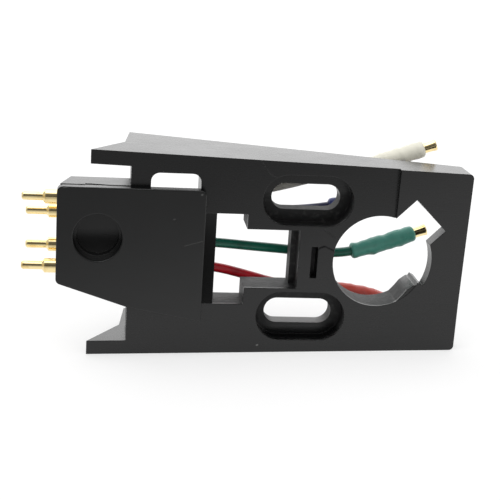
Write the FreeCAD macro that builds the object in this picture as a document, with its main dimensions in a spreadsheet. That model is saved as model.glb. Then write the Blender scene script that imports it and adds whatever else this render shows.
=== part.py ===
import FreeCAD, Part
import Sketcher
import math
import os

# Turntable headshell, standing on the outer face of its lower side wall.
# Millimetres. The pieces are drawn in the shell's own axes and then stood up by one placement:
# X runs along the shell from the contact pins (-) to the nose (+), with 0 at the cartridge slots,
# Y runs from the front face of the plate (0) back into the channel, Z runs across from wall to wall.

Vector = FreeCAD.Vector
doc = FreeCAD.newDocument("Headshell")

dimensions = {
    # shell moulding: plan
    "halfWidth": 10.39,        # half the width over the walls, at the slots
    "flare": 0.028,            # how much each side draws in for each millimetre towards the nose
    "noseReach": 17.25,        # slots to the front end
    "plateReach": 18.5,        # slots to the rear edge of the plate
    "wingReach": 22.6,         # slots to the tips of the wall wings
    "wallThick": 1.48,
    # shell moulding: depth
    "plateThick": 3.8,
    "noseThick": 3.07,         # depth of the walls at the nose
    "webThick": 1.5,           # the plate thins to a web beyond the finger hole
    "webOver": 4.92,           # centre of the finger hole to the start of the web
    "noseWall": 1.5,
    "rearDepth": 10.4,         # depth of the walls at the rear edge of the plate
    "wingDepth": 4.95,         # where the slanted edge of the wing ends
    "wingReturn": 0.6,         # the wing's slanted edge ends this far behind the plate's rear edge
    "noseRise": 0.6,           # the nose pad stands proud of the plate at the upper wall
    "noseStep": 9.4,           # slots to the step of the nose pad
    "noseFade": 4.6,           # the nose pad has sunk to nothing this far below the centre line
    "noseCorner": 0.5,
    # cartridge slots
    "slotSpacing": 12.7,
    "slotLength": 7.35,
    "slotWidth": 2.8,
    "seatLength": 9.6,
    "seatWidth": 5.4,
    "seatDepth": 1.98,
    # stepped window
    "windowRear": 6.25,        # slots to the step between the tall and the low part
    "windowTop": 4.75,
    "windowBottom": 5.1,
    "windowFront": 0.63,
    "lowTop": 3.15,
    "lowBottom": 3.25,
    "ledgeWide": 0.63,
    "ledgeDeep": 1.9,
    # finger hole in the nose
    "holeAt": 8.03,
    "holeRadius": 5.01,
    "reliefOver": 0.69,        # how far the relief on the nose side reaches beyond the finger hole
    "reliefStart": -27.0,
    "reliefSpan": 51.0,
    "notchTurn": 46.0,
    "notchWidth": 4.8,
    "notchReach": 7.37,
    # small forms beside the finger hole
    "grooveAt": 1.03,
    "grooveWide": 0.66,
    "grooveTop": 1.41,
    "grooveBottom": 2.01,
    "grooveDeep": 1.2,
    "tongueRise": 0.25,
    "tonguePeak": 1.53,
    "tongueShoulder": 1.18,    # top of the tongue at the groove
    "tongueRun": 0.67,         # groove to the tongue's peak
    "tongueEnd": 0.93,         # top of the tongue at the finger hole
    "tongueLap": 0.4,          # how far the tongue reaches into the hole before the hole is cut
    # opening behind the contact block
    "neckWide": 2.05,
    "eyeWide": 5.15,
    "eyeTop": 8.84,
    "eyeCorner": 0.9,
    # contact block
    "blockReach": 25.6,
    "blockTail": 9.5,
    "blockTop": 7.4,
    "blockSeat": 7.1,
    "blockDeep": 3.35,
    "blockHeel": 2.75,
    "blockDraft": 1.0,
    "blockFloor": 0.35,
    "blockWall": 1.5,
    "blockSide": 0.8,
    "blockSlope": 0.45,        # extra room inside along the block's slanted side
    "blockFront": 0.8,         # what stays of the block's upper wall behind the cover, below the eye
    "jointAt": 2.5,            # gap in the joint with the cover, from the block's rear face
    "jointRun": 0.6,
    "jointLong": 2.7,
    "jointDeep": 0.34,
    # front cover
    "coverThick": 1.1,
    "coverLip": 0.3,
    "coverFront": 10.75,
    "coverTop": 7.35,
    "coverHeel": 2.9,
    "coverSlopeEnd": 5.36,
    "coverBottom": 6.8,
    "coverCorner": 0.6,
    "coverEdge": 0.12,
    # locating recess
    "recessIn": 3.88,          # centre of the recess from the block's rear face
    "recessUp": 2.08,
    "recessRadius": 2.5,
    "recessBore": 2.2,
    "recessDeep": 0.9,
    "recessWall": 0.55,
    # contact pins
    "pinUp": 2.08,
    "pinOuterUp": 3.7,
    "pinInnerUp": 1.82,
    "pinOuterDeep": 1.0,
    "pinInnerDeep": 2.5,
    "pinBarrel": 0.76,
    "pinTip": 0.45,
    "pinTipLong": 2.15,
    "pinOuterProud": 1.75,
    "pinInnerProud": 1.4,
    "pinShoulder": 0.25,
    "pinTail": 1.5,
    "pinTipEase": 0.2,
    # leads
    "leadDia": 1.05,
    "sleeveDia": 1.8,
    "sleeveOver": 1.7,
    "clipOuter": 1.3,
    "clipInner": 0.95,
    "clipLong": 3.1,
    "clipSlit": 0.32,
    "clipEnd": 0.37,           # the clip's closed end
    "clipSlitFrom": 0.93,
    "solderRadius": 0.62,
    "solderRise": 0.55,        # height of the bead at its foot
    "solderLong": 1.0,
    "solderEnd": 0.55,
}

sheet = doc.addObject("Spreadsheet::Sheet", "Sizes")
for row, (alias, number) in enumerate(dimensions.items(), start=1):
    sheet.set("A%d" % row, alias)
    sheet.set("B%d" % row, str(number))
    sheet.setAlias("B%d" % row, alias)
doc.recompute()


class Size:
    # A number together with the formula that gives it from the sheet.
    def __init__(self, value, formula):
        self.value = value
        self.formula = formula

    @staticmethod
    def of(thing):
        return thing if isinstance(thing, Size) else Size(float(thing), repr(float(thing)))

    def __add__(self, other):
        other = Size.of(other)
        return Size(self.value + other.value, "(%s + %s)" % (self.formula, other.formula))

    def __sub__(self, other):
        other = Size.of(other)
        return Size(self.value - other.value, "(%s - %s)" % (self.formula, other.formula))

    def __mul__(self, other):
        other = Size.of(other)
        return Size(self.value * other.value, "(%s * %s)" % (self.formula, other.formula))

    def __truediv__(self, other):
        other = Size.of(other)
        return Size(self.value / other.value, "(%s / %s)" % (self.formula, other.formula))

    def __neg__(self):
        return Size(-self.value, "(-1 * %s)" % self.formula)

    __radd__ = __add__
    __rmul__ = __mul__

    def __rsub__(self, other):
        return Size.of(other) - self


class Sizes:
    # The sheet's cells as Size values: s.wallThick and so on.
    def __getattr__(self, alias):
        return Size(float(sheet.get(alias)), "Sizes." + alias)


s = Sizes()
recess_at = s.blockReach - s.recessIn      # slots to the centre of the recess
zero = Size.of(0)
past = Size.of(1)      # how far a cut runs on beyond the material


def half_width(x):
    # Half the width over the walls at a place along the shell.
    return s.halfWidth - s.flare * x


def depth_at(x):
    # Depth of the side walls, which draws in evenly to the plate's own thickness at the nose.
    slope = (s.rearDepth - s.noseThick) / (s.plateReach + s.noseReach)
    return s.rearDepth - slope * (x + s.plateReach)


# How the shell stands: the flared lower wall lies flat, with the origin under the slots.
lean = math.degrees(math.atan(s.flare.value))
foot_mid = depth_at(zero).value / 2
stand = FreeCAD.Placement(
    Vector(s.halfWidth.value * math.sin(math.radians(lean)),
           -foot_mid,
           s.halfWidth.value * math.cos(math.radians(lean))),
    FreeCAD.Rotation(Vector(0, 1, 0), lean),
)

alongY = FreeCAD.Rotation(Vector(1, 0, 0), -90)
alongX = FreeCAD.Rotation(Vector(0, 1, 0), 90)
pieces = []


def new_body(label, place=FreeCAD.Placement()):
    body = doc.addObject("PartDesign::Body", "Body_" + label)
    body.Label = label
    body.Placement = stand.multiply(place)
    pieces.append(body)
    return body


def new_sketch(body, plane, name, offset=zero):
    # A sketch on one of the body's origin planes. The offset runs along the plane's normal,
    # which is -Y for the XZ plane, +Z for the XY plane and +X for the YZ plane.
    sketch = body.newObject("Sketcher::SketchObject", name)
    support = [item for item in body.Origin.OriginFeatures if item.Role == plane][0]
    sketch.AttachmentSupport = (support, [""])
    sketch.MapMode = "FlatFace"
    sketch.AttachmentOffset = FreeCAD.Placement(Vector(0, 0, offset.value), FreeCAD.Rotation())
    sketch.setExpression("AttachmentOffset.Base.z", offset.formula)
    return sketch


def place_point(sketch, geometry, end, u, v):
    # Ties one point of the sketch to the origin by its two distances.
    for kind, distance in (("DistanceX", u), ("DistanceY", v)):
        index = sketch.addConstraint(Sketcher.Constraint(kind, -1, 1, geometry, end, distance.value))
        sketch.setExpression("Constraints[%d]" % index, distance.formula)


def draw_polygon(sketch, corners):
    corners = [(Size.of(u), Size.of(v)) for u, v in corners]
    first = sketch.GeometryCount
    count = len(corners)
    for i, (u, v) in enumerate(corners):
        next_u, next_v = corners[(i + 1) % count]
        line = Part.LineSegment(Vector(u.value, v.value, 0), Vector(next_u.value, next_v.value, 0))
        sketch.addGeometry(line, False)
    for i in range(count):
        sketch.addConstraint(Sketcher.Constraint("Coincident", first + i, 2, first + (i + 1) % count, 1))
    for i, (u, v) in enumerate(corners):
        place_point(sketch, first + i, 1, u, v)


def pad(body, name, plane, corners, length, offset=zero, backwards=False):
    sketch = new_sketch(body, plane, name + "Sketch", offset)
    draw_polygon(sketch, corners)
    feature = body.newObject("PartDesign::Pad", name)
    feature.Profile = (sketch, [""])
    feature.Reversed = backwards
    feature.setExpression("Length", Size.of(length).formula)
    doc.recompute()
    return feature


def pocket(body, name, plane, corners, length, offset=zero, backwards=False):
    # Cuts against the plane's normal, or along it where backwards is set.
    sketch = new_sketch(body, plane, name + "Sketch", offset)
    draw_polygon(sketch, corners)
    feature = body.newObject("PartDesign::Pocket", name)
    feature.Profile = (sketch, [""])
    feature.Reversed = backwards
    feature.setExpression("Length", Size.of(length).formula)
    doc.recompute()
    return feature


def bind(feature, **formulas):
    for name, size in formulas.items():
        feature.setExpression(name, Size.of(size).formula)


def put(feature, turn, x, y, z):
    # Places a primitive: its turn is fixed and its position follows the sheet.
    x, y, z = Size.of(x), Size.of(y), Size.of(z)
    feature.Placement = FreeCAD.Placement(Vector(x.value, y.value, z.value), turn)
    for axis, size in (("x", x), ("y", y), ("z", z)):
        feature.setExpression("Placement.Base." + axis, size.formula)


def drill(body, name, turn, x, y, z, radius, length):
    feature = body.newObject("PartDesign::SubtractiveCylinder", name)
    bind(feature, Radius=radius, Height=length)
    put(feature, turn, x, y, z)
    doc.recompute()
    return feature


def box_cut(body, name, x, y, z, long, deep, high):
    # A box cut from its lowest corner.
    feature = body.newObject("PartDesign::SubtractiveBox", name)
    bind(feature, Length=long, Width=deep, Height=high)
    put(feature, FreeCAD.Rotation(), x, y, z)
    doc.recompute()
    return feature


def edges_through(feature, spots, tolerance=0.02):
    # Names of the straight edges along Y that pass through the given (x, z) spots.
    names = []
    for number, edge in enumerate(feature.Shape.Edges, start=1):
        along_y = abs(edge.tangentAt(edge.FirstParameter).y) > 1 - 1e-6
        if not isinstance(edge.Curve, Part.Line) or not along_y:
            continue
        point = edge.Vertexes[0].Point
        if any(math.hypot(point.x - x.value, point.z - z.value) < tolerance for x, z in spots):
            names.append("Edge%d" % number)
    return names


def fillet(body, name, radius, spots):
    base = body.Tip
    feature = body.newObject("PartDesign::Fillet", name)
    feature.Base = (base, edges_through(base, spots))
    bind(feature, Radius=radius)
    doc.recompute()
    return feature


def slot_cut(body, name, x, z, long, wide, start, length):
    # A slot with round ends: a box between two bores.
    half_run = (long - wide) / 2
    box_cut(body, name + "Middle", x - half_run, start, z - wide / 2, half_run * 2, length, wide)
    drill(body, name + "Rear", alongY, x - half_run, start, z, wide / 2, length)
    drill(body, name + "Front", alongY, x + half_run, start, z, wide / 2, length)


eye_front = s.plateReach - s.neckWide - s.eyeWide      # slots to the front end of the eye above the block


def build_shell():
    body = new_body("headshell")
    tip, rear, nose = -s.wingReach, -s.plateReach, s.noseReach
    inner = s.wallThick
    # Plate and walls as one thick outline with the wings at the rear.
    pad(body, "Outline", "XZ_Plane", [
        (tip, half_width(tip)),
        (nose, half_width(nose)),
        (nose, -half_width(nose)),
        (tip, -half_width(tip)),
        (tip, inner - half_width(tip)),
        (rear, inner - half_width(rear)),
        (rear, half_width(rear) - inner),
        (tip, half_width(tip) - inner),
    ], s.rearDepth + s.noseRise, offset=s.noseRise, backwards=True)
    # Side view: the walls draw in to the nose, and each wing has a slanted rear edge.
    pocket(body, "SideView", "XY_Plane", [
        (tip - past, -s.noseRise - past),
        (tip, zero),
        (rear - s.wingReturn, s.wingDepth),
        (rear, s.rearDepth),
        (nose, s.noseThick),
        (nose + past, s.noseThick),
        (nose + past, s.rearDepth + past),
        (tip - past, s.rearDepth + past),
    ], half_width(tip) * 2 + past * 2, offset=half_width(tip) + past)
    # Channel between the walls, behind the cartridge seat.
    pocket(body, "Channel", "XZ_Plane", [
        (tip - past, half_width(tip - past) - inner),
        (nose + past, half_width(nose + past) - inner),
        (nose + past, inner - half_width(nose + past)),
        (tip - past, inner - half_width(tip - past)),
    ], s.rearDepth, offset=-s.plateThick)
    web_start, web_end = s.holeAt + s.webOver, nose - s.noseWall
    pocket(body, "Web", "XZ_Plane", [
        (web_start, half_width(web_start) - inner),
        (web_end, half_width(web_end) - inner),
        (web_end, inner - half_width(web_end)),
        (web_start, inner - half_width(web_start)),
    ], s.rearDepth, offset=-s.webThick)
    # Front face: flat behind the nose step, with a pad ahead of it that sinks away below the finger hole.
    box_cut(body, "FrontFace", tip - past, -s.noseRise - past, -half_width(tip) - past,
            s.wingReach + s.noseStep + past, s.noseRise + past, half_width(tip) * 2 + past * 2)
    pocket(body, "NosePad", "YZ_Plane", [
        (-s.noseRise - past, half_width(s.noseStep)),
        (-s.noseRise, half_width(s.noseStep)),
        (zero, -s.noseFade),
        (zero, -half_width(s.noseStep) - past),
        (-s.noseRise - past, -half_width(s.noseStep) - past),
    ], nose - s.noseStep + past, offset=nose + past)
    fillet(body, "NoseCorners", s.noseCorner, [(nose, half_width(nose)), (nose, -half_width(nose))])
    # Cartridge slots with the seats for the screw heads.
    for side, name in ((1, "Upper"), (-1, "Lower")):
        across = s.slotSpacing * (side / 2)
        slot_cut(body, name + "Seat", zero, across, s.seatLength, s.seatWidth, -s.noseRise,
                 s.seatDepth + s.noseRise)
        slot_cut(body, name + "Slot", zero, across, s.slotLength, s.slotWidth, zero, s.plateThick)
    # Stepped window, with a ledge left standing at the back of its front end.
    deep = s.plateThick + past * 2
    box_cut(body, "WindowLow", -s.windowRear - past, -past, -s.lowBottom,
            s.windowRear - s.windowFront - s.ledgeWide + past, deep, s.lowTop + s.lowBottom)
    box_cut(body, "WindowFront", -s.windowRear, -past, -s.lowBottom, s.windowRear - s.windowFront,
            s.ledgeDeep + past, s.lowTop + s.lowBottom)
    # Cut-out that the contact block sits in, open at the plate's rear edge and one with the window.
    box_cut(body, "BlockSeat", rear - past, -past, -s.windowBottom, s.plateReach - s.windowRear + past,
            deep, s.windowTop + s.windowBottom)
    box_cut(body, "BlockSeatRear", rear - past, -past, zero, s.plateReach - eye_front + past,
            deep, s.blockSeat)
    box_cut(body, "Eye", s.neckWide - s.plateReach, -past, s.blockSeat - past, s.eyeWide,
            deep, s.eyeTop - s.blockSeat + past)
    fillet(body, "EyeCorners", s.eyeCorner, [(s.neckWide - s.plateReach, s.eyeTop), (-eye_front, s.eyeTop)])
    # Tongue beside the finger hole, raised a little from the plate.
    groove_right = s.grooveAt + s.grooveWide / 2
    pad(body, "Tongue", "XZ_Plane", [
        (groove_right, -s.grooveBottom),
        (groove_right, s.tongueShoulder),
        (groove_right + s.tongueRun, s.tonguePeak),
        (s.holeAt - s.holeRadius + s.tongueLap, s.tongueEnd),
        (s.holeAt - s.holeRadius + s.tongueLap, -s.grooveBottom),
    ], s.tongueRise + s.grooveDeep, offset=s.tongueRise, backwards=True)
    box_cut(body, "Groove", groove_right - s.grooveWide, -s.tongueRise - past, -s.grooveBottom,
            s.grooveWide, s.grooveDeep + s.tongueRise + past, s.grooveTop + s.grooveBottom)
    # Finger hole, its relief on the nose side and the square notch above it.
    drill(body, "FingerHole", alongY, s.holeAt, -s.noseRise - past, 0, s.holeRadius, deep + s.noseRise)
    relief = body.newObject("PartDesign::SubtractiveCylinder", "Relief")
    bind(relief, Radius=s.holeRadius + s.reliefOver, Height=deep + s.noseRise, Angle=s.reliefSpan)
    # A cylinder turned to run along Y measures its angle from X towards -Z, so the sector starts at the top.
    sector = FreeCAD.Rotation(Vector(0, 1, 0), -(s.reliefStart.value + s.reliefSpan.value)).multiply(alongY)
    put(relief, sector, s.holeAt, -s.noseRise - past, 0)
    doc.recompute()
    notch = body.newObject("PartDesign::SubtractiveBox", "Notch")
    bind(notch, Length=s.notchReach, Width=deep + s.noseRise, Height=s.notchWidth)
    turn = math.radians(s.notchTurn.value)
    half = s.notchWidth * 0.5
    put(notch, FreeCAD.Rotation(Vector(0, 1, 0), -s.notchTurn.value),
        s.holeAt + half * math.sin(turn), -s.noseRise - past, -half * math.cos(turn))
    doc.recompute()
    # Land with a flat top at the lower end of the relief, as angles and shares of the hole's radius.
    land = []
    for angle, share in ((-63.6, 1.01), (-52.1, 0.949), (-42.4, 0.917), (-32.4, 0.962),
                         (-27.6, 1.103), (-34.5, 1.197), (-45.9, 1.196), (-61.0, 1.141)):
        spoke, heading = s.holeRadius * share, math.radians(angle)
        land.append((s.holeAt + spoke * math.cos(heading), spoke * math.sin(heading)))
    pad(body, "Land", "XZ_Plane", land, s.plateThick, backwards=True)
    return body


def build_block():
    # Contact block: a tray open at the back, with the pins in its rear wall.
    body = new_body("contact_block")
    left, rear, tail = -s.blockReach, -s.plateReach, -s.blockTail
    side = s.blockSide
    pad(body, "Tray", "XZ_Plane", [
        (left, -s.blockHeel),
        (rear, -s.windowBottom),
        (tail, -s.windowBottom),
        (tail, s.windowTop),
        (-eye_front, s.windowTop),
        (-eye_front, s.blockSeat),
        (rear, s.blockSeat),
        (rear, s.blockTop),
        (left, s.blockTop),
    ], s.blockDeep, backwards=True)
    pocket(body, "Draft", "XY_Plane", [
        (left, zero),
        (left + s.blockDraft, s.blockDeep),
        (left + s.blockDraft, s.blockDeep + past),
        (left - past, s.blockDeep + past),
        (left - past, zero),
    ], s.blockTop + s.windowBottom + past * 2, offset=s.blockTop + past)
    wall = left + s.blockWall
    pocket(body, "Inside", "XZ_Plane", [
        (wall, side - s.blockHeel - s.blockSlope),
        (rear, side - s.windowBottom),
        (tail + past, side - s.windowBottom),
        (tail + past, s.windowTop - side),
        (-eye_front - side, s.windowTop - side),
        (-eye_front - side, s.blockTop - side),
        (wall, s.blockTop - side),
    ], s.blockDeep, offset=-s.blockFloor)
    # Cup round the locating recess.
    cup = body.newObject("PartDesign::AdditiveCylinder", "Cup")
    bind(cup, Radius=s.recessBore + s.recessWall, Height=s.recessDeep + s.recessWall)
    put(cup, alongY, -recess_at, zero, s.recessUp)
    doc.recompute()
    drill(body, "RecessBore", alongY, -recess_at, -past, s.recessUp, s.recessBore, s.recessDeep + past)
    # Gap in the joint with the cover, seen from above.
    pocket(body, "JointGap", "XY_Plane", [
        (left + s.jointAt, zero),
        (left + s.jointAt, s.jointDeep),
        (left + s.jointAt + s.jointRun, s.jointDeep),
        (left + s.jointAt + s.jointLong, zero),
    ], s.blockSide * 0.75, offset=s.blockTop)
    # The upper wall is cut away below the eye, where a lead passes.
    box_cut(body, "LeadWay", s.neckWide - s.plateReach, s.blockFront, s.blockSeat - side - s.blockFront * 1.5,
            s.eyeWide + past, s.blockDeep, s.blockTop)
    for name, proud, up, deep in pin_places():
        drill(body, "Bore_" + name, alongX, left - past, deep, up, s.pinBarrel, s.blockWall + past)
    return body


def build_cover():
    # Front cover: a flat plate over the block, running down onto the shell.
    body = new_body("front_cover")
    left = -(s.blockReach + s.coverLip)
    corners = [
        (left, -s.coverHeel),
        (-s.plateReach, -s.coverSlopeEnd),
        (-s.coverFront, -s.coverBottom),
        (-s.coverFront, s.coverTop),
        (left, s.coverTop),
    ]
    pad(body, "Plate", "XZ_Plane", corners, s.coverThick)
    fillet(body, "Corners", s.coverCorner, [corners[0], corners[3], corners[4]])
    drill(body, "RecessMouth", alongY, -recess_at, -s.coverThick - past, s.recessUp,
          s.recessRadius, s.coverThick + past * 2)
    base = body.Tip
    front = min(base.Shape.Faces, key=lambda face: face.CenterOfMass.y)
    names = ["Edge%d" % number for number, edge in enumerate(base.Shape.Edges, start=1)
             if any(edge.isSame(rim) for rim in front.Edges)]
    eased = body.newObject("PartDesign::Fillet", "EasedEdge")
    eased.Base = (base, names)
    bind(eased, Radius=s.coverEdge)
    doc.recompute()
    return body


def pin_places():
    # Name, how far the barrel stands out, height and depth of each pin, from top to bottom.
    return [
        ("white", s.pinOuterProud, s.pinUp + s.pinOuterUp, s.pinOuterDeep),
        ("blue", s.pinInnerProud, s.pinUp + s.pinInnerUp, s.pinInnerDeep),
        ("green", s.pinInnerProud, s.pinUp - s.pinInnerUp, s.pinInnerDeep),
        ("red", s.pinOuterProud, s.pinUp - s.pinOuterUp, s.pinOuterDeep),
    ]


def build_pin(name, proud, up, deep):
    # Turned pin: rounded tip, chamfered shoulder, barrel in the block's wall and solder tail behind it.
    body = new_body("pin_" + name, FreeCAD.Placement(Vector(0, deep.value, up.value), FreeCAD.Rotation()))
    wall_out, wall_in = -s.blockReach, s.blockWall - s.blockReach
    end = wall_out - proud - s.pinTipLong
    ease = s.pinTipEase
    sketch = new_sketch(body, "XY_Plane", "Profile")
    draw_polygon(sketch, [
        (end, zero),
        (end, s.pinTip - ease),
        (end + ease * 0.35, s.pinTip - ease * 0.35),
        (end + ease, s.pinTip),
        (wall_out - proud, s.pinTip),
        (wall_out - proud + s.pinShoulder, s.pinBarrel),
        (wall_in, s.pinBarrel),
        (wall_in, s.pinTip),
        (wall_in + s.pinTail, s.pinTip),
        (wall_in + s.pinTail, zero),
    ])
    turned = body.newObject("PartDesign::Revolution", "Turned")
    turned.Profile = (sketch, [""])
    turned.ReferenceAxis = (sketch, ["H_Axis"])
    turned.Angle = 360
    return body


def build_solder(name, up, deep):
    # Bead of solder round the tail, up to where the lead begins.
    body = new_body("solder_" + name, FreeCAD.Placement(Vector(0, deep.value, up.value), FreeCAD.Rotation()))
    end = s.blockWall - s.blockReach + s.pinTail
    start = end - s.solderLong
    sketch = new_sketch(body, "XY_Plane", "Profile")
    draw_polygon(sketch, [
        (start, s.pinTip),
        (start + s.solderLong * 0.3, s.solderRise),
        (start + s.solderLong * 0.65, s.solderRadius),
        (end, s.solderEnd),
        (end, s.pinTip),
    ])
    bead = body.newObject("PartDesign::Revolution", "Bead")
    bead.Profile = (sketch, [""])
    bead.ReferenceAxis = (sketch, ["H_Axis"])
    bead.Angle = 360
    return body


# Routes of the four leads in the shell's axes, after the solder joint: the points of the bare wire, and then
# those inside the sleeve, which starts halfway along the run between the two. The last is the lead's end.
routes = {
    "white": (
        [(-19.6, 1.00, 5.78), (-16.2, 2.35, 5.60), (-12.8, 4.30, 5.42), (-9.2, 5.60, 5.35),
         (-5.6, 6.40, 5.60), (-2.0, 7.00, 6.25), (1.6, 7.40, 7.20), (5.2, 7.70, 8.05)],
        [(8.8, 7.95, 8.95), (12.3, 8.05, 10.20)]),
    "blue": (
        [(-19.6, 2.50, 3.90), (-16.2, 3.15, 4.05), (-12.7, 4.40, 4.12), (-9.0, 5.30, 3.98),
         (-5.4, 5.95, 3.75), (-1.9, 6.40, 3.65), (1.7, 6.60, 3.90)],
        [(5.2, 6.80, 4.45), (8.4, 7.00, 5.45), (11.3, 7.10, 6.50)]),
    "green": (
        [(-19.5, 2.50, 0.26), (-15.9, 2.95, 0.50), (-12.2, 3.95, 0.60), (-8.5, 4.50, 0.32),
         (-4.9, 5.05, -0.12), (-1.5, 5.70, -0.52), (1.8, 6.10, -0.92), (5.1, 6.45, -1.08)],
        [(8.5, 6.80, -0.42), (11.9, 7.10, 0.72)]),
    "red": (
        [(-19.6, 1.00, -1.62), (-16.1, 2.20, -1.78), (-12.6, 3.80, -1.98), (-8.9, 4.50, -2.38),
         (-5.5, 5.00, -3.35), (-2.2, 5.70, -4.45), (1.4, 6.25, -5.20)],
        [(5.0, 6.60, -5.45), (8.1, 6.95, -5.85), (10.9, 7.20, -6.85)]),
}


def lead_points(name, up, deep):
    bare, sleeved = routes[name]
    start = Vector((s.blockWall - s.blockReach + s.pinTail).value, deep.value, up.value)
    return [start] + [Vector(*point) for point in bare + sleeved]


def corner_radii(points):
    # The largest arc that each corner's two runs allow.
    radii = []
    for before, here, after in zip(points, points[1:], points[2:]):
        turn = (here - before).getAngle(after - here)
        shorter = min((here - before).Length, (after - here).Length)
        radii.append(0.45 * shorter / math.tan(turn / 2))
    return radii


def rounded_path(points, radii):
    # Straight runs joined by tangent arcs.
    edges = []
    start = points[0]
    for before, here, after, radius in zip(points, points[1:], points[2:], radii):
        to_before = (before - here).normalize()
        to_after = (after - here).normalize()
        turn = (-to_before).getAngle(to_after)
        reach = radius * math.tan(turn / 2)
        middle_way = (to_before + to_after).normalize()
        centre_reach = radius / math.cos(turn / 2)
        tangent_in = here + to_before * reach
        tangent_out = here + to_after * reach
        middle = here + middle_way * (centre_reach - radius)
        edges.append(Part.LineSegment(start, tangent_in).toShape())
        edges.append(Part.Arc(tangent_in, middle, tangent_out).toShape())
        start = tangent_out
    edges.append(Part.LineSegment(start, points[-1]).toShape())
    return Part.Wire(edges)


def swept_tube(path, radius):
    start = path.Vertexes[0].Point
    heading = path.Edges[0].tangentAt(path.Edges[0].FirstParameter)
    ring = Part.Wire([Part.makeCircle(radius, start, heading)])
    return path.makePipeShell([ring], True, False)


def add_shape(label, shape):
    feature = doc.addObject("Part::Feature", "Shape_" + label)
    feature.Label = label
    feature.Shape = shape
    feature.Placement = stand
    pieces.append(feature)
    return feature


def build_lead(name, up, deep):
    points = lead_points(name, up, deep)
    radii = corner_radii(points)
    path = rounded_path(points, radii)
    tube = swept_tube(path, s.leadDia.value / 2)
    section = math.pi * s.leadDia.value ** 2 / 4
    print("lead_%s: %.1f mm long, radii %s, volume over section times length %.4f" % (
        name, path.Length, " ".join("%.1f" % radius for radius in radii),
        tube.Volume / (section * path.Length)))
    add_shape("lead_" + name, tube)
    return points, radii


def build_sleeve(name, points, radii):
    # Shrink sleeve: it grips the lead behind and the clip in front, along the lead's own path.
    first = 1 + len(routes[name][0])
    heading = (points[-1] - points[-2]).normalize()
    start = (points[first - 1] + points[first]) * 0.5
    end = points[-1] + heading * s.sleeveOver.value
    bends = radii[first - 1:]
    outer = swept_tube(rounded_path([start] + points[first:-1] + [end], bends), s.sleeveDia.value / 2)
    bore = swept_tube(rounded_path([start] + points[first:], bends), s.leadDia.value / 2)
    socket = Part.makeCylinder(s.clipOuter.value / 2, s.sleeveOver.value, points[-1], heading)
    add_shape("sleeve_" + name, outer.cut(bore).cut(socket))


def build_clip(name, points):
    # Cartridge clip: a rolled barrel with a slit along it, closed over the end of the lead.
    heading = (points[-1] - points[-2]).normalize()
    barrel = doc.addObject("Part::Cylinder", "Barrel_" + name)
    bind(barrel, Radius=s.clipOuter / 2, Height=s.clipLong)
    hollow = doc.addObject("Part::Cylinder", "Hollow_" + name)
    bind(hollow, Radius=s.clipInner / 2, Height=s.clipLong)
    put(hollow, FreeCAD.Rotation(), zero, zero, s.clipEnd)
    slit = doc.addObject("Part::Box", "Slit_" + name)
    bind(slit, Length=s.clipOuter, Width=s.clipSlit, Height=s.clipLong)
    put(slit, FreeCAD.Rotation(), zero, -s.clipSlit / 2, s.clipSlitFrom)
    room = doc.addObject("Part::Fuse", "Room_" + name)
    room.Base, room.Tool = hollow, slit
    clip = doc.addObject("Part::Cut", "Clip_" + name)
    clip.Base, clip.Tool = barrel, room
    clip.Label = "clip_" + name
    aim = FreeCAD.Rotation(Vector(0, 0, 1), heading)
    clip.Placement = stand.multiply(FreeCAD.Placement(points[-1], aim))
    pieces.append(clip)


def check_document():
    doc.recompute()
    for item in doc.Objects:
        if any(word in ("Invalid", "Error") for word in item.State):
            raise RuntimeError("%s failed: %s" % (item.Label, item.State))
    for body in [piece for piece in pieces if piece.TypeId == "PartDesign::Body"]:
        volume = 0.0
        for feature in [item for item in body.Group if item.isDerivedFrom("PartDesign::Feature")]:
            if abs(feature.Shape.Volume - volume) < 1e-6:
                raise RuntimeError("%s changes nothing in %s" % (feature.Name, body.Label))
            volume = feature.Shape.Volume
    for piece in pieces:
        if piece.Shape.isNull() or not piece.Shape.isValid():
            raise RuntimeError("%s has no valid shape" % piece.Label)
        if len(piece.Shape.Solids) != 1:
            raise RuntimeError("%s has %d solids" % (piece.Label, len(piece.Shape.Solids)))


build_shell()
build_block()
build_cover()
for name, proud, up, deep in pin_places():
    build_pin(name, proud, up, deep)
    build_solder(name, up, deep)
    points, radii = build_lead(name, up, deep)
    build_sleeve(name, points, radii)
    build_clip(name, points)
check_document()

os.makedirs("parts", exist_ok=True)
for piece in pieces:
    piece.Shape.exportStep("parts/%s.step" % piece.Label)
    box = piece.Shape.BoundBox
    print("%-14s volume %9.3f  x %.2f..%.2f  y %.2f..%.2f  z %.2f..%.2f" % (
        piece.Label, piece.Shape.Volume, box.XMin, box.XMax, box.YMin, box.YMax, box.ZMin, box.ZMax))
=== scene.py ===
import math

import bpy
import numpy as np
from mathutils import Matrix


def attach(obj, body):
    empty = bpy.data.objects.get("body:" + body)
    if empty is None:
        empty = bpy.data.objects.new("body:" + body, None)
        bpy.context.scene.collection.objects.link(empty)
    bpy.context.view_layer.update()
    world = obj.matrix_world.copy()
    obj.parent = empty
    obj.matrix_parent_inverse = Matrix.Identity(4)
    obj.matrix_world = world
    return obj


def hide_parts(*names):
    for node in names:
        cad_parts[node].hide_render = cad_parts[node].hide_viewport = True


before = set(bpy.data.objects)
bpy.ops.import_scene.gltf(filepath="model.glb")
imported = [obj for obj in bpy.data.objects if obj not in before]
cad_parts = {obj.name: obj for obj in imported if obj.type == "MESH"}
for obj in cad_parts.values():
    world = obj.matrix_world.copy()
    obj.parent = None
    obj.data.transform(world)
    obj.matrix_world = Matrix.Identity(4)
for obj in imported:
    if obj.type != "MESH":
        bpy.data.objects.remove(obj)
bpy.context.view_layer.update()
print("frame loaded")

# The shell leans by its side wall's flare, as it stands on that wall. Routes are in the shell's own axes, in metres.
stance = {"flare": 0.028, "halfWidth": 0.01039, "footDepth": 0.0033034}


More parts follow.
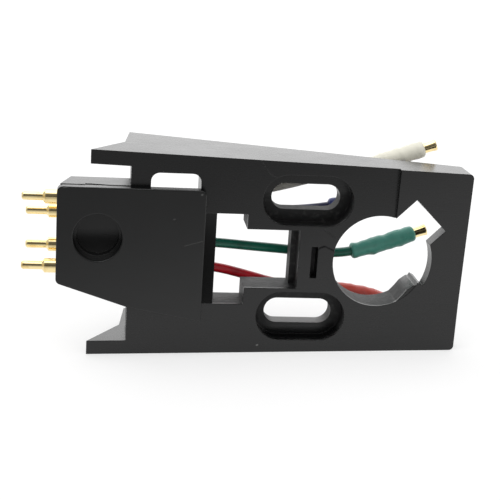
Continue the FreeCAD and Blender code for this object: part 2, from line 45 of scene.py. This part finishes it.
def stood(points):
    # Turns points about Y by the flare's angle and lifts them, from the shell's axes to the row frame.
    angle = math.atan(stance["flare"])
    x, y, z = np.asarray(points, float).T
    return np.stack([
        x * math.cos(angle) + (z + stance["halfWidth"]) * math.sin(angle),
        y - stance["footDepth"],
        (z + stance["halfWidth"]) * math.cos(angle) - x * math.sin(angle)], axis=1)


# Camera at the photograph's viewing angle.
camera = {"place": (-0.020982, -0.124028, 0.047355), "turn": (73.5535, -1.9473, -6.7189), "lens": 87.27,
          "sensor": 36.0}

eye = bpy.data.objects.new("camera", bpy.data.cameras.new("camera"))
bpy.context.scene.collection.objects.link(eye)
eye.location = camera["place"]
eye.rotation_euler = [math.radians(angle) for angle in camera["turn"]]
eye.data.lens = camera["lens"]
eye.data.sensor_width = camera["sensor"]
eye.data.clip_start = 0.005
eye.data.clip_end = 20
bpy.context.scene.camera = eye
bpy.context.scene.view_settings.view_transform = "Standard"
print("camera placed")


class Value:
    # A socket in a finish, with the operators that shader maths needs.
    def __init__(self, finish, socket):
        self.finish = finish
        self.socket = socket

    def maths(self, operation, *terms):
        return self.finish.node("ShaderNodeMath", {"operation": operation}, dict(enumerate(terms)))

    def __add__(self, other):
        return self.maths("ADD", self, other)

    def __sub__(self, other):
        return self.maths("SUBTRACT", self, other)

    def __rsub__(self, other):
        return self.maths("SUBTRACT", other, self)

    def __mul__(self, other):
        return self.maths("MULTIPLY", self, other)

    def __pow__(self, other):
        return self.maths("POWER", self, other)

    __radd__ = __add__
    __rmul__ = __mul__

    def between(self, low, high):
        # 0 below low, 1 above high, and smooth between them; the other way round where low is the larger.
        return self.finish.node("ShaderNodeMapRange", {"interpolation_type": "SMOOTHSTEP"},
                                {"Value": self, "From Min": low, "From Max": high})

    def larger(self, other):
        return self.maths("MAXIMUM", self, other)


class Finish:
    # A material being made. node() adds any node: its settings are set first, and then its sockets.
    def __init__(self, name):
        self.material = bpy.data.materials.new(name)
        self.material.use_nodes = True
        self.tree = self.material.node_tree
        self.tree.nodes.clear()

    def node(self, kind, settings=None, sockets=None, output=0):
        made = self.tree.nodes.new(kind)
        for key, setting in (settings or {}).items():
            setattr(made, key, setting)
        for key, value in (sockets or {}).items():
            if isinstance(value, Value):
                self.tree.links.new(value.socket, made.inputs[key])
            else:
                made.inputs[key].default_value = value
        return Value(self, made.outputs[output])

    def place(self):
        return self.node("ShaderNodeTexCoord", output=3)

    def noise(self, where, size, detail=3.0, roughness=0.5):
        # Cloudy pattern from 0 to 1, with features about size metres across.
        return self.node("ShaderNodeTexNoise", None, {
            "Vector": where, "Scale": 1 / size, "Detail": detail, "Roughness": roughness})

    def specks(self, where, spacing, radius):
        # 1 at scattered round dots of about this radius.
        distance = self.node("ShaderNodeTexVoronoi", {"feature": "F1"}, {"Vector": where, "Scale": 1 / spacing})
        return distance.between(radius * 1.3 / spacing, radius * 0.7 / spacing)

    def mixed(self, share, first, second):
        return self.node("ShaderNodeMix", {"data_type": "RGBA"}, {0: share, 6: first, 7: second}, output=2)

    def line(self, where, start, end, width):
        # 1 along a straight stroke between two points: closeness to the nearest point of the segment.
        start, end = np.array(start), np.array(end)
        run = end - start
        offset = self.node("ShaderNodeVectorMath", {"operation": "SUBTRACT"}, {0: where, 1: tuple(start)})
        along = self.node("ShaderNodeVectorMath", {"operation": "DOT_PRODUCT"},
                          {0: offset, 1: tuple(run / (run @ run))}, output=1)
        share = self.node("ShaderNodeClamp", None, {"Value": along})
        reach = self.node("ShaderNodeVectorMath", {"operation": "SCALE"}, {0: tuple(run), "Scale": share})
        gap = self.node("ShaderNodeVectorMath", {"operation": "SUBTRACT"}, {0: offset, 1: reach})
        distance = self.node("ShaderNodeVectorMath", {"operation": "LENGTH"}, {0: gap}, output=1)
        return distance.between(width, width * 0.3)

    def bump(self, height, depth, normal=None):
        sockets = {"Height": height, "Distance": depth, "Strength": 1.0}
        if normal is not None:
            sockets["Normal"] = normal
        return self.node("ShaderNodeBump", None, sockets)

    def surface(self, sockets):
        shader = self.node("ShaderNodeBsdfPrincipled", None, sockets)
        self.endWith(shader)
        return self.material

    def endWith(self, shader):
        # Gives the shader to the material's output.
        end = self.tree.nodes.new("ShaderNodeOutputMaterial")
        self.tree.links.new(shader.socket, end.inputs["Surface"])


def wear(material, *nodes):
    # Puts one material on CAD nodes or new pieces.
    for piece in nodes:
        piece.data.materials.clear()
        piece.data.materials.append(material)


# Moulded black plastic: glossy, a little wavy from the mould, with fine dust and rubbed patches. The walls inside
# the openings are duller. Where the block shows beside the cover and in its recess, its front leans back a little:
# each lean has where it fades in along X, its top and how fast it grows below that.
plastics = {
    "shellBlack": {"dark": (0.0009, 0.0010, 0.0012, 1), "light": (0.0022, 0.0023, 0.0025, 1), "rough": 0.27,
                   "edge": 0.00011, "wave": 0.0000045, "grain": 0.0000008, "inside": 1.0, "leans": []},
    "coverBlack": {"dark": (0.0010, 0.0012, 0.0013, 1), "light": (0.0024, 0.0027, 0.0028, 1), "rough": 0.31,
                   "edge": 0.00008, "wave": 0.0000030, "grain": 0.0000009, "inside": 0.0, "leans": []},
    "blockBlack": {"dark": (0.0009, 0.0010, 0.0012, 1), "light": (0.0021, 0.0022, 0.0024, 1), "rough": 0.29,
                   "edge": 0.00009, "wave": 0.0000040, "grain": 0.0000008, "inside": 0.0,
                   "leans": [(-0.0115, -0.0108, 0.0172, 22.0), (-0.0150, -0.0165, 0.0136, 95.0)]},
}
# What the plastics share: sizes of the patterns in metres, how much each counts, and the box of the dull inside.
moulding = {
    "clouds": 0.009, "smears": 0.0016, "waves": 0.0032, "grains": 0.00012, "blotches": 0.0006, "streaks": 0.00016,
    "streakLong": (0.05, 1.0, 1.0), "streakDepth": 0.0000012, "blotchDepth": 0.000060,
    "dust": {"spacing": 0.0021, "radius": 0.000035, "pale": 0.25, "rough": 0.3},
    "roughBy": {"clouds": 0.10, "smears": 0.06, "streaks": 0.10, "inside": 0.30},
    "pale": (0.30, 0.30, 0.29, 1), "rubbed": 0.10, "ior": 1.50,
    "front": (-0.0032, -0.0027), "below": (0.0022, 0.0032), "above": (0.0173, 0.0165), "nose": (0.0122, 0.0112),
}
# Weld lines, a scratch and specks seen on the front, and one painted highlight along the cover's right edge: start,
# end, width, depth and how pale.
marks = {
    "shellBlack": [
        ((-0.00461, -0.0033, 0.02097), (-0.00368, -0.0033, 0.01961), 0.00008, -0.000050, 0.03),
        ((-0.00368, -0.0033, 0.01961), (-0.00296, -0.0033, 0.01919), 0.00008, -0.000050, 0.03),
        ((0.00188, -0.0033, 0.01401), (0.00344, -0.0033, 0.01276), 0.00008, -0.000050, 0.03),
        ((-0.00446, -0.0033, 0.00081), (-0.00437, -0.0033, 0.00083), 0.00013, 0.0, 0.40)],
    "coverBlack": [
        ((-0.02475, -0.0044, 0.01838), (-0.02425, -0.0044, 0.01846), 0.00010, -0.000060, 0.05),
        ((-0.02375, -0.0044, 0.01852), (-0.02290, -0.0044, 0.01856), 0.00008, -0.000040, 0.04),
        ((-0.01246, -0.0044, 0.01221), (-0.01058, -0.0044, 0.01270), 0.00007, -0.000030, 0.07),
        ((-0.01358, -0.0044, 0.01498), (-0.01349, -0.0044, 0.01500), 0.00013, -0.000030, 0.08),
        ((-0.01080, -0.0044, 0.01763), (-0.01074, -0.0044, 0.01765), 0.00012, 0.0, 0.25),
        ((-0.01066, -0.0044, 0.01815), (-0.01056, -0.0044, 0.01819), 0.00010, 0.0, 0.45),
        # Painted highlight: a pale stroke down the cover's right edge, where its rounded edge catches the light.
        ((-0.01027, -0.0044, 0.01752), (-0.01040, -0.0044, 0.00430), 0.00014, 0.0, 0.05)],
    "blockBlack": [],
}


def blackPlastic(name):
    facts = plastics[name]
    finish = Finish(name)
    where = finish.place()
    along, deep, up = (finish.node("ShaderNodeSeparateXYZ", None, {0: where}, output=axis) for axis in (0, 1, 2))
    inside = (deep.between(*moulding["front"]) * up.between(*moulding["below"]) * up.between(*moulding["above"])
              * along.between(*moulding["nose"]) * facts["inside"])
    clouds = finish.noise(where, moulding["clouds"], 4.0, 0.55)
    smears = finish.noise(where, moulding["smears"], 3.0, 0.6)
    drawn = finish.node("ShaderNodeVectorMath", {"operation": "MULTIPLY"}, {0: where, 1: moulding["streakLong"]})
    streaks = finish.noise(drawn, moulding["streaks"], 2.0)
    specks = moulding["dust"]
    dust = finish.specks(where, specks["spacing"], specks["radius"]) * smears.between(0.45, 0.62)
    height = (finish.noise(where, moulding["waves"], 1.0) * facts["wave"]
              + finish.noise(where, moulding["grains"], 2.0) * facts["grain"])
    blotches = finish.noise(where, moulding["blotches"], 4.0, 0.7)
    height = height + streaks * moulding["streakDepth"] + inside * blotches * moulding["blotchDepth"]
    for outer, inner, top, bend in facts["leans"]:
        height = height + (top - up).larger(0.0) ** 2 * bend * along.between(outer, inner)
    pale = dust * specks["pale"]
    # Marks are cut in by their depth and made paler by their tint; the pale stroke on the cover's right edge is a
    # painted highlight.
    for start, end, width, depth, tint in marks[name]:
        stroke = finish.line(where, start, end, width)
        height = height + stroke * depth
        pale = pale.larger(stroke * tint)
    colour = finish.mixed(clouds.between(0.35, 0.7), facts["dark"], facts["light"])
    colour = finish.mixed(pale, colour, moulding["pale"])
    colour = finish.mixed(inside * blotches.between(0.5, 0.75) * moulding["rubbed"], colour, moulding["pale"])
    share = moulding["roughBy"]
    rough = (facts["rough"] + (clouds - 0.5) * share["clouds"] + (smears - 0.5) * share["smears"]
             + (streaks - 0.5) * share["streaks"] + dust * specks["rough"] + inside * share["inside"])
    eased = finish.node("ShaderNodeBevel", {"samples": 6}, {"Radius": facts["edge"]})
    return finish.surface({
        "Base Color": colour,
        "Roughness": rough,
        "IOR": moulding["ior"],
        "Normal": finish.bump(height, 1.0, eased)})


wear(blackPlastic("shellBlack"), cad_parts["headshell"])
wear(blackPlastic("coverBlack"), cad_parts["front_cover"])
wear(blackPlastic("blockBlack"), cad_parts["contact_block"])
print("black plastic made")


# Gold plate on the contact pins and clips, slightly rubbed.
gold = {"bright": (0.95, 0.78, 0.42, 1), "dull": (0.80, 0.59, 0.26, 1), "rough": 0.12,
        "patches": 0.0011, "turning": 0.00009, "turningDepth": 0.0000012, "edge": 0.00006}


def goldPlate():
    finish = Finish("goldPlate")
    where = finish.place()
    patches = finish.noise(where, gold["patches"], 4.0, 0.6)
    turning = finish.noise(where, gold["turning"], 1.0)
    eased = finish.node("ShaderNodeBevel", {"samples": 6}, {"Radius": gold["edge"]})
    return finish.surface({
        "Base Color": finish.mixed(patches.between(0.48, 0.75), gold["bright"], gold["dull"]),
        "Metallic": 1.0,
        "Roughness": gold["rough"] + (patches - 0.5) * 0.10,
        "Normal": finish.bump(turning, gold["turningDepth"], eased)})


goldFinish = goldPlate()
for name in ("white", "blue", "green", "red"):
    wear(goldFinish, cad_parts["pin_" + name])
print("contact pins made")


def surfaceMesh(name, grid, wrapAlong):
    # A mesh from a grid of points (along, around, xyz). It closes around, and along too where wrapAlong is set.
    along, around = grid.shape[:2]
    rows = np.arange(along if wrapAlong else along - 1)
    first = (rows[:, None] * around + np.arange(around)[None, :])
    nextRow = ((rows + 1) % along)[:, None] * around + np.arange(around)[None, :]
    quads = np.stack([first, nextRow, np.roll(nextRow, -1, axis=1), np.roll(first, -1, axis=1)], axis=-1)
    return pieceMesh(name, grid.reshape(-1, 3), quads.reshape(-1, 4))


def pieceMesh(name, points, quads):
    mesh = bpy.data.meshes.new(name)
    mesh.vertices.add(len(points))
    mesh.vertices.foreach_set("co", np.ascontiguousarray(points, np.float32).ravel())
    mesh.loops.add(quads.size)
    mesh.loops.foreach_set("vertex_index", quads.ravel().astype(np.int32))
    mesh.polygons.add(len(quads))
    mesh.polygons.foreach_set("loop_start", np.arange(0, quads.size, 4, dtype=np.int32))
    mesh.polygons.foreach_set("use_smooth", np.ones(len(quads), bool))
    mesh.update(calc_edges=True)
    mesh.validate()
    piece = bpy.data.objects.new(name, mesh)
    bpy.context.scene.collection.objects.link(piece)
    return piece


class Path:
    # A line through space: where it is, and its heading and two side directions, at any distance along it.
    def __init__(self, points, beyond):
        # The line goes straight on for a little beyond its last point.
        heading = points[-1] - points[-2]
        points = np.vstack([points, points[-1] + heading / np.linalg.norm(heading) * beyond])
        steps = np.linalg.norm(np.diff(points, axis=0), axis=1)
        self.points = points
        self.distance = np.concatenate([[0.0], np.cumsum(steps)])
        self.end = self.distance[-2]

    def at(self, distance):
        return np.stack([np.interp(distance, self.distance, axis) for axis in self.points.T], axis=-1)

    def frame(self, distance):
        # The side is level and square to the heading; the rise is square to both.
        reach = 0.0002
        heading = self.at(distance + reach) - self.at(distance - reach)
        heading /= np.linalg.norm(heading, axis=-1, keepdims=True)
        side = np.cross(heading, (0.0, 0.0, 1.0))
        side /= np.linalg.norm(side, axis=-1, keepdims=True)
        return heading, side, np.cross(side, heading)


def sweptSurface(name, path, distance, radius, wrapAlong=True):
    # Rings round the path: centre + radius * (cos angle * side + sin angle * rise). radius is (along, around).
    angle = np.linspace(0, 2 * np.pi, radius.shape[1], endpoint=False)
    heading, side, rise = path.frame(distance)
    ring = np.cos(angle)[None, :, None] * side[:, None, :] + np.sin(angle)[None, :, None] * rise[:, None, :]
    return surfaceMesh(name, path.at(distance)[:, None, :] + radius[..., None] * ring, wrapAlong)


# The four leads, each a wire from its pin to a clip for the cartridge, with a shrink sleeve over the joint.
wires = {"diameter": 0.00105, "sleeveRadius": 0.00090, "sleeveOver": 0.0017, "clipRadius": 0.00065,
         "clipInner": 0.000475, "clipLong": 0.0031,
         # Ripples of a sleeve: waves along it, waves round it, and size as a share of its radius.
         "ripples": [(2.6, 0, 0.040), (4.3, 1, 0.034), (7.1, 2, 0.020), (11.5, 3, 0.010)]}
leads = {
    "white": {
        "length": 0.0366, "sleeved": 0.0056, "seed": 3,
        "wire": (0.62, 0.60, 0.54, 1), "sleeve": (0.70, 0.68, 0.58, 1),
        "points": [
            (-0.0226, 0.00100, 0.00578), (-0.0196, 0.00100, 0.00578), (-0.0162, 0.00235, 0.00560),
            (-0.0128, 0.00430, 0.00542), (-0.0092, 0.00560, 0.00535), (-0.0056, 0.00640, 0.00560),
            (-0.0020, 0.00700, 0.00625), (0.0016, 0.00740, 0.00720), (0.0052, 0.00770, 0.00805),
            (0.0088, 0.00795, 0.00895), (0.0123, 0.00805, 0.01020)]},
    "blue": {
        "length": 0.0348, "sleeved": 0.0082, "seed": 5,
        "wire": (0.008, 0.014, 0.115, 1), "sleeve": (0.022, 0.040, 0.210, 1),
        "points": [
            (-0.0226, 0.00250, 0.00390), (-0.0196, 0.00250, 0.00390), (-0.0162, 0.00315, 0.00405),
            (-0.0127, 0.00440, 0.00412), (-0.0090, 0.00530, 0.00398), (-0.0054, 0.00595, 0.00375),
            (-0.0019, 0.00640, 0.00365), (0.0017, 0.00660, 0.00390), (0.0052, 0.00680, 0.00445),
            (0.0084, 0.00700, 0.00545), (0.0113, 0.00710, 0.00650)]},
    "green": {
        "length": 0.0352, "sleeved": 0.0058, "seed": 8,
        "wire": (0.006, 0.135, 0.085, 1), "sleeve": (0.085, 0.340, 0.265, 1),
        "points": [
            (-0.0226, 0.00250, 0.00026), (-0.0195, 0.00250, 0.00026), (-0.0159, 0.00295, 0.00050),
            (-0.0122, 0.00395, 0.00060), (-0.0085, 0.00450, 0.00032), (-0.0049, 0.00505, -0.00012),
            (-0.0015, 0.00570, -0.00052), (0.0018, 0.00610, -0.00092), (0.0051, 0.00645, -0.00108),
            (0.0085, 0.00680, -0.00042), (0.0119, 0.00710, 0.00072)]},
    "red": {
        "length": 0.0349, "sleeved": 0.0079, "seed": 11,
        "wire": (0.460, 0.004, 0.014, 1), "sleeve": (0.630, 0.070, 0.050, 1),
        "points": [
            (-0.0226, 0.00100, -0.00162), (-0.0196, 0.00100, -0.00162), (-0.0161, 0.00220, -0.00178),
            (-0.0126, 0.00380, -0.00198), (-0.0089, 0.00450, -0.00238), (-0.0055, 0.00500, -0.00335),
            (-0.0022, 0.00570, -0.00445), (0.0014, 0.00625, -0.00520), (0.0050, 0.00660, -0.00545),
            (0.0081, 0.00695, -0.00585), (0.0109, 0.00720, -0.00685)]},
}


def wireCurve(name, points, thickness):
    curve = bpy.data.curves.new(name, "CURVE")
    curve.dimensions = "3D"
    spline = curve.splines.new("NURBS")
    spline.points.add(len(points) - 1)
    spline.points.foreach_set("co", np.column_stack([points, np.ones(len(points))]).ravel())
    spline.order_u = 3
    spline.use_endpoint_u = True
    spline.resolution_u = 14
    curve.bevel_depth = thickness
    curve.bevel_resolution = 6
    curve.use_fill_caps = True
    piece = bpy.data.objects.new(name, curve)
    bpy.context.scene.collection.objects.link(piece)
    return piece


def centreLine(points):
    # The spline's own line, read from a copy of the curve with no thickness.
    plain = wireCurve("centre line", points, 0.0)
    plain.data.use_fill_caps = False
    mesh = bpy.data.meshes.new_from_object(plain)
    line = np.empty(len(mesh.vertices) * 3)
    mesh.vertices.foreach_get("co", line)
    bpy.data.meshes.remove(mesh)
    curve = plain.data
    bpy.data.objects.remove(plain)
    bpy.data.curves.remove(curve)
    return line.reshape(-1, 3)


def wireFinish(name, colour):
    # Smooth extruded insulation with a little grime.
    finish = Finish("wire_" + name)
    where = finish.place()
    grime = finish.noise(where, 0.0021, 4.0, 0.6)
    darker = tuple(part * 0.62 for part in colour[:3]) + (1,)
    return finish.surface({
        "Base Color": finish.mixed(grime.between(0.40, 0.72), colour, darker),
        "Roughness": 0.36 + (grime - 0.5) * 0.14,
        "Normal": finish.bump(finish.noise(where, 0.0004, 2.0), 0.000006)})


def sleeveFinish(name, colour):
    # Shrunk sleeve: a softer sheen than the wire, cloudy and slightly wrinkled.
    finish = Finish("sleeve_" + name)
    where = finish.place()
    clouds = finish.noise(where, 0.0015, 4.0, 0.55)
    paler = tuple(0.16 + part * 0.75 for part in colour[:3]) + (1,)
    return finish.surface({
        "Base Color": finish.mixed(clouds.between(0.50, 0.80) * 0.35, colour, paler),
        "Roughness": 0.42 + (clouds - 0.5) * 0.16,
        "Normal": finish.bump(finish.noise(where, 0.00030, 3.0, 0.6), 0.000030)})


def shrinkSleeve(name, path, facts):
    # A closed wall: out over the joint and back inside. The outer radius ripples along and round the sleeve,
    # draws in where the wire alone is under it, and its two ends are rounded over.
    chance = np.random.default_rng(facts["seed"])
    begin, stop = path.end - facts["sleeved"], path.end + wires["sleeveOver"]
    share = np.linspace(0, 1, 56)
    angle = np.linspace(0, 2 * np.pi, 36, endpoint=False)
    rounded = 1 - np.clip(1 - share * 30, 0, 1) ** 2 * 0.30 - np.clip(1 - (1 - share) * 26, 0, 1) ** 2 * 0.22
    ripple = np.zeros((len(share), len(angle)))
    for waves, turns, size in wires["ripples"]:
        phase = chance.uniform(0, 2 * np.pi, 2)
        ripple += size * (np.sin(2 * np.pi * waves * share + phase[0])[:, None]
                          * np.cos(turns * angle + phase[1])[None, :])
    slim = 0.93 + 0.07 * np.clip((share - 0.22) / 0.12, 0, 1)
    outer = wires["sleeveRadius"] * 1.03 * (rounded * slim)[:, None] * (1 + ripple)
    inner = np.full((2, len(angle)), wires["diameter"] * 0.49)
    inner[0] = wires["clipRadius"] * 1.01
    radius = np.vstack([outer, inner[:1], inner])
    away = np.concatenate([begin + share * (stop - begin), [stop, path.end - 0.0001, begin]])
    radius[-2] = wires["diameter"] * 0.49
    return sweptSurface("shrinkSleeve_" + name, path, away, radius)


def cartridgeClip(name, path):
    # Rolled clip: a C-shaped strip section carried along the axis. It is pinched behind its mouth and flares at it.
    along = np.array([0.0, 0.06, 0.30, 0.36, 0.55, 0.70, 0.86, 0.96, 1.0])
    swell = np.array([0.90, 1.0, 1.0, 0.93, 0.90, 0.89, 0.92, 0.99, 1.0])
    slit = np.array([0.10, 0.10, 0.10, 0.20, 0.24, 0.25, 0.27, 0.34, 0.36])     # half the open angle, in radians
    turn = np.linspace(-1, 1, 33)
    angle = np.pi / 2 + turn[None, :] * (np.pi - slit[:, None])
    outer = wires["clipRadius"] * swell[:, None]
    inner = outer - (wires["clipRadius"] - wires["clipInner"])
    heading, side, rise = path.frame(path.end + along * wires["clipLong"] * 0.5)
    heading, side, rise = heading[-1:], side[-1:], rise[-1:]
    centre = path.at(np.array([path.end])) + along[:, None] * wires["clipLong"] * heading
    ring = np.cos(angle)[..., None] * side[:, None, :] + np.sin(angle)[..., None] * rise[:, None, :]
    outside = centre[:, None, :] + outer[..., None] * ring
    inside = centre[:, None, :] + inner[..., None] * ring
    section = np.concatenate([outside, inside[:, ::-1]], axis=1)
    rows, around = section.shape[:2]
    first = np.arange(rows - 1)[:, None] * around + np.arange(around)[None, :]
    onward = np.roll(first, -1, axis=1)
    walls = np.stack([first, first + around, onward + around, onward], axis=-1).reshape(-1, 4)
    strip = np.arange(len(turn) - 1)
    lip = np.stack([strip, strip + 1, around - 2 - strip, around - 1 - strip], axis=-1)
    mouth = (rows - 1) * around + lip[:, ::-1]
    return pieceMesh("cartridgeClip_" + name, section.reshape(-1, 3), np.vstack([walls, lip, mouth]))


for name, facts in leads.items():
    points = stood(facts["points"])
    wire = wireCurve("leadWire_" + name, points, wires["diameter"] / 2)
    path = Path(centreLine(points), wires["clipLong"] + 0.001)
    sleeve = shrinkSleeve(name, path, facts)
    clip = cartridgeClip(name, path)
    wear(wireFinish(name, facts["wire"]), wire)
    wear(sleeveFinish(name, facts["sleeve"]), sleeve)
    wear(goldFinish, clip)
    for piece, part in ((wire, "lead_"), (sleeve, "sleeve_"), (clip, "clip_")):
        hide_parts(part + name)
        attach(piece, "root")
print("leads made")


# Solder beads where the wires meet the pins.
beads = {"tail": 0.00045, "radius": 0.00062, "long": 0.0010, "from": -0.0236}
pinPlaces = {"white": (0.0010, 0.00578), "blue": (0.0025, 0.00390), "green": (0.0025, 0.00026),
             "red": (0.0010, -0.00162)}


def solderFinish():
    finish = Finish("solderTin")
    where = finish.place()
    clouds = finish.noise(where, 0.0004, 3.0, 0.6)
    return finish.surface({
        "Base Color": finish.mixed(clouds, (0.62, 0.62, 0.64, 1), (0.38, 0.38, 0.39, 1)),
        "Metallic": 1.0,
        "Roughness": 0.30 + (clouds - 0.5) * 0.3,
        "Normal": finish.bump(clouds, 0.000012)})


def solderBead(name, deep, up, seed):
    # A closed ring round the pin's tail: the radius swells as a half sine and is lumpy round the bead.
    chance = np.random.default_rng(seed)
    share = np.linspace(0, 1, 20)
    angle = np.linspace(0, 2 * np.pi, 32, endpoint=False)
    phase = chance.uniform(0, 2 * np.pi, 3)
    lump = 1 + 0.05 * np.cos(2 * angle + phase[0]) + 0.04 * np.cos(3 * angle + phase[1])
    swell = np.sin(np.pi * np.clip(share * 0.86 + 0.06, 0, 1)) ** 0.6
    outer = beads["tail"] + (beads["radius"] * 0.92 - beads["tail"]) * swell[:, None] * lump[None, :]
    inner = np.full((2, len(angle)), beads["tail"] * 0.98)
    away = np.concatenate([share, [1.0, 0.0]]) * beads["long"]
    ends = stood([(beads["from"], deep, up), (beads["from"] + beads["long"], deep, up)])
    return sweptSurface("solderBead_" + name, Path(ends, 0.001), away, np.vstack([outer, inner]))


solderTin = solderFinish()
for seed, (name, (deep, up)) in enumerate(pinPlaces.items()):
    bead = solderBead(name, deep, up, seed + 20)
    wear(solderTin, bead)
    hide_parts("solder_" + name)
    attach(bead, "root")
print("solder made")


# Pale floor and soft light. The floor keeps the shadow and is white to the camera. In reflections the floor is
# bright beside the object and darker away in front, and so is the sky in front, as beside a camera.
studio = {"floor": 4.0, "floorColour": (0.40, 0.40, 0.40, 1), "floorGlow": 0.57, "sky": 0.58, "front": 0.65,
          "beside": (-0.075, -0.020), "slant": 0.8,          # where the floor brightens, in metres along Y and per X
          "dim": {"from": (-0.35, -0.75), "by": 0.85},       # the sky in front, in reflections
          "low": {"from": (0.25, 0.60), "left": 0.62},       # the sky near the horizon, in reflections
          "lit": (0.2, -0.8)}                                # where the sky lights more from the front


def rayShare(finish, *kinds):
    # 1 for rays of any of these kinds.
    rays = finish.tree.nodes.new("ShaderNodeLightPath").outputs
    share = Value(finish, rays[kinds[0]])
    for kind in kinds[1:]:
        share = share.larger(Value(finish, rays[kind]))
    return share


def floorFinish():
    finish = Finish("floorWhite")
    along, deep = (finish.node("ShaderNodeSeparateXYZ", None, {0: finish.place()}, output=axis) for axis in (0, 1))
    beside = (deep + along * studio["slant"]).between(*studio["beside"])
    seen = rayShare(finish, "Is Camera Ray", "Is Transmission Ray").larger(rayShare(finish, "Is Glossy Ray") * beside)
    matt = finish.node("ShaderNodeBsdfDiffuse", None, {"Color": studio["floorColour"]})
    glow = finish.node("ShaderNodeEmission", None, {"Color": (1, 1, 1, 1), "Strength": seen * studio["floorGlow"]})
    finish.endWith(finish.node("ShaderNodeAddShader", None, {0: matt, 1: glow}))
    return finish.material


reach = studio["floor"]
floorMesh = bpy.data.meshes.new("floor")
floorMesh.from_pydata([(-reach, -reach, 0), (reach, -reach, 0), (reach, reach, 0), (-reach, reach, 0)], [],
                       [(0, 1, 2, 3)])
floor = bpy.data.objects.new("floor", floorMesh)
bpy.context.scene.collection.objects.link(floor)
floor.location.z = -0.00003
wear(floorFinish(), floor)


class Sky(Finish):
    # The world is edited as a finish is.
    def __init__(self):
        world = bpy.data.worlds.new("studio")
        world.use_nodes = True
        bpy.context.scene.world = world
        self.tree = world.node_tree
        self.tree.nodes.clear()


sky = Sky()
toward = sky.node("ShaderNodeTexCoord", output=0)
ahead, above = (sky.node("ShaderNodeSeparateXYZ", None, {0: toward}, output=axis) for axis in (1, 2))
dim, low = studio["dim"], studio["low"]
mirrored = ((1 - ahead.between(*dim["from"]) * dim["by"])
            * (low["left"] + above.between(*low["from"]) * (1 - low["left"])))
lighting = studio["sky"] + ahead.between(*studio["lit"]) * studio["front"]
seen = rayShare(sky, "Is Camera Ray", "Is Transmission Ray")
inMirror = rayShare(sky, "Is Glossy Ray")
skyShader = sky.node("ShaderNodeBackground", None, {
    "Color": (1, 1, 1, 1),
    "Strength": seen.larger(inMirror * mirrored).larger((1 - seen.larger(inMirror)) * lighting)})
sky.tree.links.new(skyShader.socket, sky.tree.nodes.new("ShaderNodeOutputWorld").inputs["Surface"])

lamps = {
    "overhead": {"place": (-0.10, 0.05, 0.60), "aim": (0.0, 0.0, 0.0), "size": (0.7, 0.7), "power": 2.0},
    "behind": {"place": (0.0, 0.55, 0.24), "aim": (0.0, 0.0, 0.02), "size": (1.2, 0.40), "power": 2.0},
}
for name, facts in lamps.items():
    light = bpy.data.lights.new(name, "AREA")
    light.shape = "RECTANGLE"
    light.size, light.size_y = facts["size"]
    light.energy = facts["power"]
    lamp = bpy.data.objects.new(name, light)
    bpy.context.scene.collection.objects.link(lamp)
    lamp.location = facts["place"]
    away = lamp.location.copy()
    away.x, away.y, away.z = (place - aim for place, aim in zip(facts["place"], facts["aim"]))
    lamp.rotation_euler = away.to_track_quat("Z", "Y").to_euler()
    lamp.visible_camera = False
print("studio lit")
